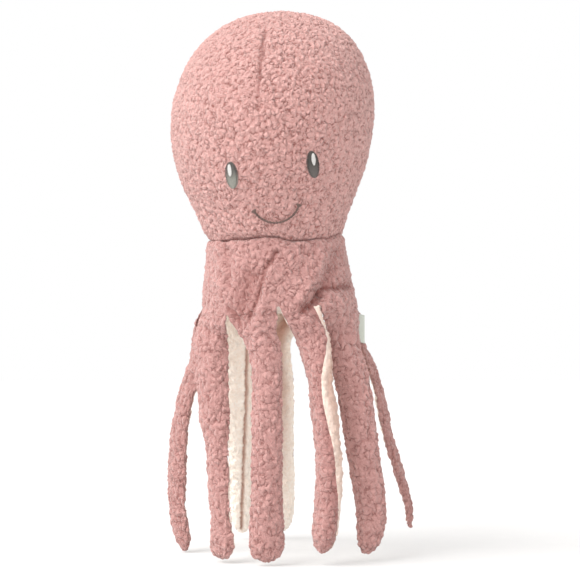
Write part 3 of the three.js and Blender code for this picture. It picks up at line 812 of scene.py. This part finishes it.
backDepth = np.exp(-(gapToLine(flat, backSeam["line"]) / backSeam["width"]) ** 2) * behind
move += backSeam["depth"] * backDepth
points = points + normals * (move * millimetre)[:, None]
movePoints(fineMesh, points)
normals = readNormals(fineMesh)


# Where the face goes, and how the pile is pressed down round it
face = {"roll": 7.5, "side": -2.4, "height": 54.9, "spacing": 66.6, "eye": (4.9, 10.7),
        "mouthDrop": 30.6, "mouthHalf": 18.3, "mouthSag": 12.2, "mouthShift": -0.8}


def onFace(across, up):
    roll = math.radians(face["roll"])
    x = face["side"] + across * math.cos(roll) - up * math.sin(roll)
    z = face["height"] + across * math.sin(roll) + up * math.cos(roll)
    return x, z


def smileAt(turn, radius):
    up = smileRadius - radius * math.cos(turn) - face["mouthSag"] - face["mouthDrop"]
    return radius * math.sin(turn) + face["mouthShift"], up


# Millimetres over which the pile fades to a seam and over which painted shade runs out from it, the strength
# of the painted shade at the seam and along the dart, and the shares of the pile that are left under stitches
pressed = {"seam": 2.0, "seamShadow": 1.6, "seamShade": 0.8, "dart": 0.2, "dartShade": 0.75,
           "eye": 0.15, "eyeFrom": 0.9, "eyeEase": 0.5, "mouth": 0.3, "mouthFrom": 0.6, "mouthEase": 2.2}
smileRadius = (face["mouthHalf"] ** 2 + face["mouthSag"] ** 2) / (2 * face["mouthSag"])
smileSpread = math.asin(face["mouthHalf"] / smileRadius)
smileLine = [onFace(*smileAt(t, smileRadius)) for t in np.linspace(-smileSpread, smileSpread, 25)]
facing = points[:, 1] < neckWorld[1] - reaches["face"]


def pressDown(reach, kind):
    left = pressed[kind]
    rise = smooth((reach - pressed[kind + "From"]) / pressed[kind + "Ease"])
    return np.where(facing, left + (1 - left) * rise, 1)


gaps = readField(fineMesh, "seamGap")
fade = smooth(gaps / pressed["seam"])
for sideways in (-1, 1):
    eyeX, eyeZ = onFace(sideways * face["spacing"] / 2, 0)
    fade *= pressDown(np.hypot((flat[:, 0] - eyeX) / face["eye"][0], (up - eyeZ) / face["eye"][1]), "eye")
fade *= pressDown(gapToLine(flat, smileLine), "mouth")
sewnIn = np.maximum(dartDepth, backDepth)
fade *= 1 - (1 - pressed["dart"]) * sewnIn
# Painted shade: the cage's own, along the dart and the back seam, in the folds and in the neck crease
shade = np.maximum(readField(fineMesh, "foldShade"), pressed["dartShade"] * sewnIn)
shade = np.maximum(shade, paintedFoldShade)
shade = np.maximum(shade, pressed["seamShade"] * (1 - smooth(gaps / pressed["seamShadow"])))
skinTree = BVHTree.FromObject(skin, bpy.context.evaluated_depsgraph_get())


# The skin is parted into its sewn pieces
corner = np.empty(len(fineMesh.loops), np.int32)
fineMesh.loops.foreach_get("vertex_index", corner)
quads = corner.reshape(-1, 4)
tags = readField(fineMesh, "pieceTag", np.int32)


def partOf(name, chosen):
    used, local = np.unique(quads[chosen], return_inverse=True)
    mesh = bpy.data.meshes.new(name)
    mesh.vertices.add(len(used))
    mesh.vertices.foreach_set("co", points[used].ravel())
    count = int(chosen.sum())
    mesh.loops.add(4 * count)
    mesh.loops.foreach_set("vertex_index", local.ravel().astype(np.int32))
    mesh.polygons.add(count)
    mesh.polygons.foreach_set("loop_start", np.arange(0, 4 * count, 4, dtype=np.int32))
    mesh.update(calc_edges=True)
    mesh.validate()
    setField(mesh, "skinNormal", normals[used], "FLOAT_VECTOR")
    setField(mesh, "pileFade", fade[used])
    setField(mesh, "foldShade", shade[used])
    return newObject(name, mesh)


pileTree = makePileTree()
headPile = {"Nub Size": pinkHead["nub"], "Relief": 0.0016, "Rise": 0.0006, "Material": headFleece}
limbPile = {"Nub Size": pinkLimb["nub"], "Relief": 0.0016, "Rise": 0.0006, "Material": limbFleece}
creamPile = dict(limbPile, Material=creamFleece)

middle = points[quads].mean(axis=1)
inFrontFace = middle[:, 1] < neckWorld[1]
backSide = middle[:, 0] < neckWorld[0] + backSeam["line"][0][0] * millimetre
headParts = [
    ("headFrontPanel", (tags == 0) & inFrontFace, ("head_front_panel", "head_filling")),
    ("headBackRightPanel", (tags == 0) & ~inFrontFace & backSide, ("head_back_right_panel",)),
    ("headBackLeftPanel", (tags == 0) & ~inFrontFace & ~backSide, ("head_back_left_panel",)),
]
for name, chosen, nodes in headParts:
    panel = applyTree(partOf(name, chosen), pileTree, headPile)
    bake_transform(panel)
    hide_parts(*nodes)
torsoParts = [
    ("torsoFrontPanel", (tags == 1) & inFrontFace, ("torso_front_panel", "torso_filling"), limbPile,
     "pink_pile"),
    ("torsoBackPanel", (tags == 1) & ~inFrontFace, ("torso_back_panel",), limbPile, "pink_pile"),
    ("undersidePanel", tags == 2, ("underside_panel",), creamPile, "cream_lining"),
]
for name, chosen, nodes, pile, slot in torsoParts:
    panel = applyTree(partOf(name, chosen), pileTree, pile)
    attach(panel, "torso")
    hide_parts(*nodes)
for number in range(1, 9):
    halves = ((1, "Outer", limbPile, "pink_pile"), (2, "Lining", creamPile, "cream_lining"))
    for offset, kind, pile, slot in halves:
        chosen = tags == offset + 2 * number
        limb = applyTree(partOf(f"tentacle{number}{kind}", chosen), pileTree, pile)
        start, end = spans[number]
        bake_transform(limb)
        nodes = [f"tentacle_{number}_{kind.lower()}"]
        if kind == "Outer":
            nodes.append(f"tentacle_{number}_filling")
        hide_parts(*nodes)
bpy.data.objects.remove(skin)
print("fleece pieces made")


# Embroidery. For each kind of stitch its lift off the cloth, width and height, in millimetres
stitches = {"eye": (0.95, 0.85, 1.5), "eyeEdge": (0.75, 0.7, 1.3), "highlight": (1.9, 0.75, 1.0),
            "mouth": (1.7, 2.0, 1.7), "slant": 0.35, "overrun": 0.15, "uneven": 0.12}


def makeStitchTree():
    board, (places, width, height, finish) = newTree("stitches", ("Thread Width", "Thread Height"))
    along = board.field("along")
    out = board.field("out")
    turned = board.node("FunctionNodeAlignRotationToVector", {"axis": "X"}, {"Vector": along})
    turned = board.node("FunctionNodeAlignRotationToVector", {"axis": "Z", "pivot_axis": "X"},
                        {"Rotation": turned, "Vector": out})
    reach = board.node("ShaderNodeVectorMath", {"operation": "LENGTH"}, {0: along}, 1)
    size = board.node("ShaderNodeCombineXYZ", None, {0: reach * 0.5, 1: width * 0.5, 2: height * 0.5})
    strand = board.node("GeometryNodeMeshUVSphere", None, {"Segments": 10, "Rings": 7, "Radius": 1.0})
    sewing = board.node("GeometryNodeInstanceOnPoints", None,
                        {"Points": places, "Instance": strand, "Rotation": turned, "Scale": size})
    return endTree(board, sewing, finish)


stitchTree = makeStitchTree()


def drape(x, z):
    start = Vector((neckWorld[0] + x * millimetre, -0.6, neckWorld[2] + z * millimetre))
    place, out, _, _ = skinTree.ray_cast(start, Vector((0, 1, 0)))
    return np.array(place), np.array(out)


def stitchPiece(name, ends, kind, material):
    lift, width, height = stitches[kind]
    centres, alongs, outs = [], [], []
    for first, second in ends:
        a, outA = drape(*first)
        b, outB = drape(*second)
        out = (outA + outB) / np.linalg.norm(outA + outB)
        bulge, _ = drape((first[0] + second[0]) / 2, (first[1] + second[1]) / 2)
        centres.append((a + b + bulge) / 3 + out * lift * millimetre)
        alongs.append(b - a)
        outs.append(out)
    piece = makeMesh(name, centres, [])
    setField(piece.data, "along", alongs, "FLOAT_VECTOR")
    setField(piece.data, "out", outs, "FLOAT_VECTOR")
    values = {"Thread Width": width * millimetre, "Thread Height": height * millimetre, "Material": material}
    return applyTree(piece, stitchTree, values)


def satinOval(across, up, halfWide, halfTall, pitch):
    ends = []
    for level in np.arange(-halfTall + pitch / 2, halfTall, pitch):
        reach = halfWide * math.sqrt(max(0, 1 - (level / halfTall) ** 2)) + stitches["overrun"]
        reach += dice.uniform(-stitches["uneven"], stitches["uneven"])
        low, high = up + level - stitches["slant"], up + level + stitches["slant"]
        ends.append((onFace(across - reach, low), onFace(across + reach, high)))
    return ends


def ovalRim(across, up, halfWide, halfTall, count):
    turns = np.linspace(0, 2 * np.pi, count + 1)
    spots = [onFace(across + halfWide * math.cos(t), up + halfTall * math.sin(t)) for t in turns]
    return list(zip(spots, spots[1:]))


def join(first, second):
    first.data.materials.append(second.data.materials[0])
    second.data.polygons.foreach_set("material_index", [1] * len(second.data.polygons))
    shape = bmesh.new()
    shape.from_mesh(first.data)
    shape.from_mesh(second.data)
    shape.to_mesh(first.data)
    shape.free()
    bpy.data.objects.remove(second)
    return first


def sewn(piece, body, node):
    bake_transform(piece) if node == "mouth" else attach(piece, body)
    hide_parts(node)


for name, sideways, finish in (("right", -1, rightEyeThread), ("left", 1, leftEyeThread)):
    centre = sideways * face["spacing"] / 2
    halfWide, halfTall = face["eye"]
    oval = satinOval(centre, 0, halfWide - 0.4, halfTall - 0.4, 0.42)
    fill = stitchPiece(name + "Eye", oval, "eye", finish)
    rim = ovalRim(centre, 0, halfWide - 0.1, halfTall - 0.1, 34)
    edging = stitchPiece(name + "EyeEdge", rim, "eyeEdge", edgeThread)
    sewn(join(fill, edging), "head", name + "_eye")
    oval = satinOval(centre + sideways * 0.6, 4.4, 1.7, 4.7, 0.4)
    shine = stitchPiece(name + "EyeHighlight", oval, "highlight", whiteThread)
    sewn(shine, "head", name + "_eye_highlight")
stops = np.linspace(-smileSpread, smileSpread, 19)
ends = []
for a, b in zip(stops[:-1], stops[1:]):
    start, end = smileAt(a - 0.012, smileRadius - 0.25), smileAt(b + 0.012, smileRadius + 0.25)
    ends.append((onFace(*start), onFace(*end)))
for turn in (-smileSpread, smileSpread):
    for nudge in (-0.008, 0.008):
        inner, outer = smileAt(turn + nudge, smileRadius - 2.2), smileAt(turn + nudge, smileRadius + 2.4)
        ends.append((onFace(*inner), onFace(*outer)))
mouth = stitchPiece("mouth", ends, "mouth", mouthThread)
sewn(mouth, "head", "mouth")
print("face stitched")


# Blank folded label in the toy's left side seam
tape = {"reach": 13.0, "height": 24.0, "thickness": 0.35, "fold": 0.75, "steps": 16, "rows": 18,
        "inset": 0.7, "tilt": 0.27, "bend": 1.2, "warp": 620.0, "weft": 480.0}
labelLow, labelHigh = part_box("side_label")


def makeLabel():
    path = [(-tape["reach"] + tape["reach"] * k / tape["steps"], -tape["fold"]) for k in range(tape["steps"])]
    path += [(tape["fold"] * math.sin(t), -tape["fold"] * math.cos(t)) for t in np.linspace(0, np.pi, 9)]
    path += [(-tape["reach"] * k / tape["steps"], tape["fold"]) for k in range(1, tape["steps"] + 1)]
    path = np.array(path)
    path[:, 0] -= tape["fold"]
    faces = []
    spots = []
    foldX = labelHigh[0] / millimetre - tape["inset"]
    middleY = (labelLow[1] + labelHigh[1]) / 2 / millimetre
    for r in range(tape["rows"] + 1):
        share = r / tape["rows"]
        for x, y in path:
            bend = tape["bend"] * math.sin(3.1 * share + 0.4) * smooth((x + tape["reach"]) / tape["reach"])
            z = labelHigh[2] / millimetre - tape["height"] * share - tape["tilt"] * (x + tape["reach"])
            spots.append(((foldX + x) * millimetre, (middleY + y + bend) * millimetre, z * millimetre))
    wide = len(path)
    for r in range(tape["rows"]):
        for k in range(wide - 1):
            faces.append((r * wide + k, r * wide + k + 1, (r + 1) * wide + k + 1, (r + 1) * wide + k))
    piece = makeMesh("sideLabel", spots, faces)
    layer = piece.data.uv_layers.new(name="weave")
    lengths = lengthsAlong(path)
    for loop in piece.data.loops:
        r, k = divmod(loop.vertex_index, wide)
        layer.data[loop.index].uv = (lengths[k] * millimetre, tape["height"] * r / tape["rows"] * millimetre)
    thicken = piece.modifiers.new("wall", "SOLIDIFY")
    thicken.thickness = tape["thickness"] * millimetre
    thicken.offset = 0
    mesh = madePlain(piece, thicken).data
    material, board = newMaterial("woven label tape")
    cloth = board.node("ShaderNodeUVMap", {"uv_map": "weave"})
    warp, weft = [board.node("ShaderNodeTexWave", {"bands_direction": way},
                             {"Vector": cloth, "Scale": tape[kind]})
                  for way, kind in (("X", "warp"), ("Y", "weft"))]
    weave = warp * 0.5 + weft * 0.5
    colour = board.mixed(weave, paint("#b0bab2"), paint("#d7dbd3"))
    bump = board.bump(0.5, 0.0002, weave)
    finishMaterial(board, colour, 0.6 + 0.1 * weave, bump, 0.1)
    mesh.materials.append(material)
    for polygon in mesh.polygons:
        polygon.use_smooth = True
    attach(piece, "torso")
    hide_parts("side_label")


makeLabel()
print("label made")


# Floor, light and camera
studio = {"world": 1.0, "key": 3.35, "keyAngle": 45, "fill": 0.65, "fillAngle": 20, "floorLift": 0.35,
          "floorTone": "#d8d8d8", "lens": 114.8, "aside": 0.0086, "away": 1.6, "height": 0.2283}


def makeStudio():
    floor = makeMesh("floor", [(-3, -3, 0), (3, -3, 0), (3, 3, 0), (-3, 3, 0)], [(0, 1, 2, 3)])
    material, board = newMaterial("white paper floor")
    grain = board.noise(board.node("ShaderNodeTexCoord", None, None, 3), 60, 2.0)
    tone = board.mixed(grain * 0.1, paint(studio["floorTone"]), (1, 1, 1, 1))
    paper = board.node("ShaderNodeBsdfPrincipled", None,
                       {"Base Color": tone, "Roughness": 0.9, "Specular IOR Level": 0.0})
    glow = board.node("ShaderNodeEmission", None, {"Color": (1, 1, 1, 1), "Strength": 1.0})
    seen = board.node("ShaderNodeLightPath")
    share = board.node("ShaderNodeMixShader", None, {0: seen * studio["floorLift"], 1: paper, 2: glow})
    board.node("ShaderNodeOutputMaterial", None, {"Surface": share})
    floor.data.materials.append(material)
    floor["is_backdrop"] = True
    world = bpy.data.worlds.new("studio")
    bpy.context.scene.world = world
    world.use_nodes = True
    world.node_tree.nodes.clear()
    board = Board(world.node_tree)
    seen = board.node("ShaderNodeLightPath")
    soft = board.node("ShaderNodeBackground", None, {"Color": paint("#fffdfb"), "Strength": studio["world"]})
    white = board.node("ShaderNodeBackground", None, {"Color": (1, 1, 1, 1), "Strength": 1.0})
    sky = board.node("ShaderNodeMixShader", None, {0: seen, 1: soft, 2: white})
    board.node("ShaderNodeOutputWorld", None, {"Surface": sky})
    lamps = (("key light", studio["key"], studio["keyAngle"], (0.62, 0.36, -0.74)),
             ("fill light", studio["fill"], studio["fillAngle"], (0.05, 1.0, -0.08)))
    for name, strength, angle, aim in lamps:
        lamp = bpy.data.lights.new(name, "SUN")
        lamp.energy = strength
        lamp.angle = math.radians(angle)
        lamp.color = (1.0, 0.99, 0.975)
        newObject(name, lamp).rotation_euler = Vector(aim).to_track_quat("-Z", "Y").to_euler()
    lens = bpy.data.cameras.new("camera")
    lens.sensor_width = 36.0
    lens.lens = studio["lens"]
    camera = newObject("camera", lens)
    camera.location = (rimCentre[0] + studio["aside"], -studio["away"], studio["height"])
    camera.rotation_euler = (math.pi / 2, 0, 0)
    bpy.context.scene.camera = camera
    bpy.context.scene.view_settings.view_transform = "Standard"


makeStudio()
print("studio made")
bpy.context.view_layer.update()
low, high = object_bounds()
